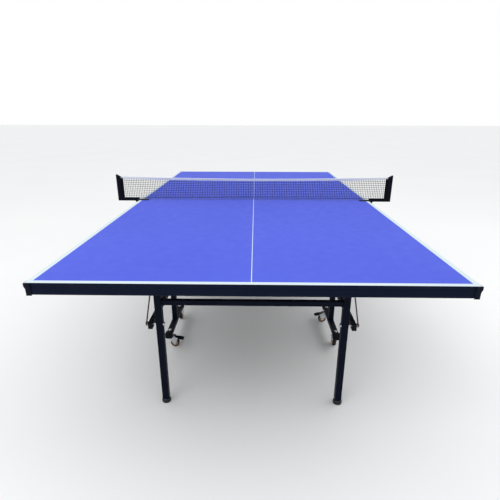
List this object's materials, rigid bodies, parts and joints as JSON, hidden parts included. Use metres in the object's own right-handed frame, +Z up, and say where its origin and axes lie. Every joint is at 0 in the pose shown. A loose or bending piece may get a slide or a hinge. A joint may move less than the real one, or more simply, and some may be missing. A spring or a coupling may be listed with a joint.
{
  "type": "ping pong table",
  "caption": "Full-size table tennis table in two roll-away halves, with folding legs, casters and a clamped net.",
  "frame": {"origin": "on the floor, below the middle of the net", "axes": "+Y along the table's length, +X across it to the right, +Z up"},
  "size_m": [1.83, 2.748, 0.923],
  "materials": {
    "table_top": "smooth matte blue playing paint with white lines",
    "apron_paint": "satin black powder coat",
    "guard_plastic": "moulded black plastic",
    "frame_paint": "satin black powder coat",
    "zinc_steel": "bright zinc plate",
    "rod_steel": "dark red-brown coated rod",
    "black_plastic": "moulded black plastic",
    "lock_pin": "zinc pin with a black knob",
    "foot_plastic": "moulded black plastic",
    "caster_steel": "bright zinc plated pressed steel",
    "caster_wheel": "black rubber tread on a grey plastic hub",
    "pedal_plastic": "moulded black plastic",
    "net_steel": "satin black powder coat",
    "screw_knob": "moulded black knob on a steel screw",
    "net_fabric": "dark knotted mesh with a white woven top tape"
  },
  "bodies": {
    "trolley_a": {"trolley_frame_a": "frame_paint", "rail_caps_a": "black_plastic", "trolley_bolts_a": "zinc_steel"},
    "top_a": {"board_a": "table_top", "apron_a": "apron_paint", "corner_guards_a": "guard_plastic", "support_rails_a": "apron_paint", "hinge_brackets_a": "zinc_steel", "hinge_bolts_a": "zinc_steel", "net": "net_fabric", "net_brackets": "net_steel"},
    "legs_a": {"leg_frame_a": "frame_paint", "leg_pins_a": "zinc_steel", "tie_rods_a": "rod_steel"},
    "links_a": {"link_tubes_a": "frame_paint", "link_caps_a": "black_plastic"},
    "lock_left_a": {"lock_pin_left_a": "lock_pin"},
    "foot_left_a": {"levelling_foot_left_a": "foot_plastic"},
    "lock_right_a": {"lock_pin_right_a": "lock_pin"},
    "foot_right_a": {"levelling_foot_right_a": "foot_plastic"},
    "fork_outer_left_a": {"caster_fork_outer_left_a": "caster_steel"},
    "wheel_outer_left_a": {"caster_wheel_outer_left_a": "caster_wheel"},
    "pedal_outer_left_a": {"brake_pedal_outer_left_a": "pedal_plastic"},
    "fork_outer_right_a": {"caster_fork_outer_right_a": "caster_steel"},
    "wheel_outer_right_a": {"caster_wheel_outer_right_a": "caster_wheel"},
    "fork_inner_left_a": {"caster_fork_inner_left_a": "caster_steel"},
    "wheel_inner_left_a": {"caster_wheel_inner_left_a": "caster_wheel"},
    "fork_inner_right_a": {"caster_fork_inner_right_a": "caster_steel"},
    "wheel_inner_right_a": {"caster_wheel_inner_right_a": "caster_wheel"},
    "pedal_inner_right_a": {"brake_pedal_inner_right_a": "pedal_plastic"},
    "trolley_b": {"trolley_frame_b": "frame_paint", "rail_caps_b": "black_plastic", "trolley_bolts_b": "zinc_steel"},
    "top_b": {"board_b": "table_top", "apron_b": "apron_paint", "corner_guards_b": "guard_plastic", "support_rails_b": "apron_paint", "hinge_brackets_b": "zinc_steel", "hinge_bolts_b": "zinc_steel"},
    "legs_b": {"leg_frame_b": "frame_paint", "leg_pins_b": "zinc_steel", "tie_rods_b": "rod_steel"},
    "links_b": {"link_tubes_b": "frame_paint", "link_caps_b": "black_plastic"},
    "lock_left_b": {"lock_pin_left_b": "lock_pin"},
    "foot_left_b": {"levelling_foot_left_b": "foot_plastic"},
    "lock_right_b": {"lock_pin_right_b": "lock_pin"},
    "foot_right_b": {"levelling_foot_right_b": "foot_plastic"},
    "fork_outer_left_b": {"caster_fork_outer_left_b": "caster_steel"},
    "wheel_outer_left_b": {"caster_wheel_outer_left_b": "caster_wheel"},
    "pedal_outer_left_b": {"brake_pedal_outer_left_b": "pedal_plastic"},
    "fork_outer_right_b": {"caster_fork_outer_right_b": "caster_steel"},
    "wheel_outer_right_b": {"caster_wheel_outer_right_b": "caster_wheel"},
    "fork_inner_left_b": {"caster_fork_inner_left_b": "caster_steel"},
    "wheel_inner_left_b": {"caster_wheel_inner_left_b": "caster_wheel"},
    "fork_inner_right_b": {"caster_fork_inner_right_b": "caster_steel"},
    "wheel_inner_right_b": {"caster_wheel_inner_right_b": "caster_wheel"},
    "pedal_inner_right_b": {"brake_pedal_inner_right_b": "pedal_plastic"},
    "clamp_left": {"clamp_screw_left": "screw_knob"},
    "clamp_right": {"clamp_screw_right": "screw_knob"}
  },
  "joints": [
    {"name": "top_tilt_a", "type": "hinge", "parent": "trolley_a", "child": "top_a", "pos_m": [0, -0.44, 0.72], "axis": [-1, 0, 0], "range_deg": [0, 90]},
    {"name": "leg_fold_a", "type": "hinge", "parent": "top_a", "child": "legs_a", "pos_m": [0, -1.05, 0.72], "axis": [-1, 0, 0], "range_deg": [-90, 0]},
    {"name": "link_swing_a", "type": "hinge", "parent": "trolley_a", "child": "links_a", "pos_m": [0, -0.44, 0.42], "axis": [-1, 0, 0], "range_deg": [0, 90]},
    {"name": "lock_pin_slide_left_a", "type": "slide", "parent": "top_a", "child": "lock_left_a", "axis": [1, 0, 0], "range_m": [0, 0.009]},
    {"name": "foot_level_left_a", "type": "slide", "parent": "legs_a", "child": "foot_left_a", "axis": [0, 0, -1], "range_m": [0, 0.012]},
    {"name": "lock_pin_slide_right_a", "type": "slide", "parent": "top_a", "child": "lock_right_a", "axis": [-1, 0, 0], "range_m": [0, 0.009]},
    {"name": "foot_level_right_a", "type": "slide", "parent": "legs_a", "child": "foot_right_a", "axis": [0, 0, -1], "range_m": [0, 0.012]},
    {"name": "swivel_outer_left_a", "type": "hinge", "parent": "trolley_a", "child": "fork_outer_left_a", "pos_m": [-0.484, -0.592, 0.06], "axis": [0, 0, 1], "continuous": true},
    {"name": "wheel_spin_outer_left_a", "type": "hinge", "parent": "fork_outer_left_a", "child": "wheel_outer_left_a", "pos_m": [-0.458, -0.592, 0.025], "axis": [0, 1, 0], "continuous": true},
    {"name": "brake_outer_left_a", "type": "hinge", "parent": "fork_outer_left_a", "child": "pedal_outer_left_a", "pos_m": [-0.443, -0.592, 0.056], "axis": [0, 1, 0], "range_deg": [0, 12]},
    {"name": "swivel_outer_right_a", "type": "hinge", "parent": "trolley_a", "child": "fork_outer_right_a", "pos_m": [0.484, -0.592, 0.06], "axis": [0, 0, 1], "continuous": true},
    {"name": "wheel_spin_outer_right_a", "type": "hinge", "parent": "fork_outer_right_a", "child": "wheel_outer_right_a", "pos_m": [0.484, -0.566, 0.025], "axis": [-1, 0, 0], "continuous": true},
    {"name": "swivel_inner_left_a", "type": "hinge", "parent": "trolley_a", "child": "fork_inner_left_a", "pos_m": [-0.484, -0.294, 0.06], "axis": [0, 0, 1], "continuous": true},
    {"name": "wheel_spin_inner_left_a", "type": "hinge", "parent": "fork_inner_left_a", "child": "wheel_inner_left_a", "pos_m": [-0.484, -0.268, 0.025], "axis": [-1, 0, 0], "continuous": true},
    {"name": "swivel_inner_right_a", "type": "hinge", "parent": "trolley_a", "child": "fork_inner_right_a", "pos_m": [0.484, -0.294, 0.06], "axis": [0, 0, 1], "continuous": true},
    {"name": "wheel_spin_inner_right_a", "type": "hinge", "parent": "fork_inner_right_a", "child": "wheel_inner_right_a", "pos_m": [0.458, -0.294, 0.025], "axis": [0, -1, 0], "continuous": true},
    {"name": "brake_inner_right_a", "type": "hinge", "parent": "fork_inner_right_a", "child": "pedal_inner_right_a", "pos_m": [0.443, -0.294, 0.056], "axis": [0, -1, 0], "range_deg": [0, 12]},
    {"name": "halves_roll_apart", "type": "slide", "parent": "trolley_a", "child": "trolley_b", "axis": [0, 1, 0], "range_m": [0, 0.4]},
    {"name": "top_tilt_b", "type": "hinge", "parent": "trolley_b", "child": "top_b", "pos_m": [0, 0.44, 0.72], "axis": [1, 0, 0], "range_deg": [0, 90]},
    {"name": "leg_fold_b", "type": "hinge", "parent": "top_b", "child": "legs_b", "pos_m": [0, 1.05, 0.72], "axis": [1, 0, 0], "range_deg": [-90, 0]},
    {"name": "link_swing_b", "type": "hinge", "parent": "trolley_b", "child": "links_b", "pos_m": [0, 0.44, 0.42], "axis": [1, 0, 0], "range_deg": [0, 90]},
    {"name": "lock_pin_slide_left_b", "type": "slide", "parent": "top_b", "child": "lock_left_b", "axis": [-1, 0, 0], "range_m": [0, 0.009]},
    {"name": "foot_level_left_b", "type": "slide", "parent": "legs_b", "child": "foot_left_b", "axis": [0, 0, -1], "range_m": [0, 0.012]},
    {"name": "lock_pin_slide_right_b", "type": "slide", "parent": "top_b", "child": "lock_right_b", "axis": [1, 0, 0], "range_m": [0, 0.009]},
    {"name": "foot_level_right_b", "type": "slide", "parent": "legs_b", "child": "foot_right_b", "axis": [0, 0, -1], "range_m": [0, 0.012]},
    {"name": "swivel_outer_left_b", "type": "hinge", "parent": "trolley_b", "child": "fork_outer_left_b", "pos_m": [0.484, 0.592, 0.06], "axis": [0, 0, 1], "continuous": true},
    {"name": "wheel_spin_outer_left_b", "type": "hinge", "parent": "fork_outer_left_b", "child": "wheel_outer_left_b", "pos_m": [0.458, 0.592, 0.025], "axis": [0, -1, 0], "continuous": true},
    {"name": "brake_outer_left_b", "type": "hinge", "parent": "fork_outer_left_b", "child": "pedal_outer_left_b", "pos_m": [0.443, 0.592, 0.056], "axis": [0, -1, 0], "range_deg": [0, 12]},
    {"name": "swivel_outer_right_b", "type": "hinge", "parent": "trolley_b", "child": "fork_outer_right_b", "pos_m": [-0.484, 0.592, 0.06], "axis": [0, 0, 1], "continuous": true},
    {"name": "wheel_spin_outer_right_b", "type": "hinge", "parent": "fork_outer_right_b", "child": "wheel_outer_right_b", "pos_m": [-0.484, 0.566, 0.025], "axis": [1, 0, 0], "continuous": true},
    {"name": "swivel_inner_left_b", "type": "hinge", "parent": "trolley_b", "child": "fork_inner_left_b", "pos_m": [0.484, 0.294, 0.06], "axis": [0, 0, 1], "continuous": true},
    {"name": "wheel_spin_inner_left_b", "type": "hinge", "parent": "fork_inner_left_b", "child": "wheel_inner_left_b", "pos_m": [0.484, 0.268, 0.025], "axis": [1, 0, 0], "continuous": true},
    {"name": "swivel_inner_right_b", "type": "hinge", "parent": "trolley_b", "child": "fork_inner_right_b", "pos_m": [-0.484, 0.294, 0.06], "axis": [0, 0, 1], "continuous": true},
    {"name": "wheel_spin_inner_right_b", "type": "hinge", "parent": "fork_inner_right_b", "child": "wheel_inner_right_b", "pos_m": [-0.458, 0.294, 0.025], "axis": [0, 1, 0], "continuous": true},
    {"name": "brake_inner_right_b", "type": "hinge", "parent": "fork_inner_right_b", "child": "pedal_inner_right_b", "pos_m": [-0.443, 0.294, 0.056], "axis": [0, 1, 0], "range_deg": [0, 12]},
    {"name": "clamp_screw_left", "type": "slide", "parent": "top_a", "child": "clamp_left", "axis": [0, 0, -1], "range_m": [0, 0.014]},
    {"name": "clamp_screw_right", "type": "slide", "parent": "top_a", "child": "clamp_right", "axis": [0, 0, -1], "range_m": [0, 0.014]}
  ],
  "couplings": [
    {"joint": "leg_fold_a", "follows": "top_tilt_a", "ratio": -1},
    {"joint": "link_swing_a", "follows": "top_tilt_a", "ratio": 1},
    {"joint": "halves_roll_apart", "follows": "top_tilt_a", "m_per_rad": 0.25},
    {"joint": "leg_fold_b", "follows": "top_tilt_b", "ratio": -1},
    {"joint": "link_swing_b", "follows": "top_tilt_b", "ratio": 1}
  ]
}
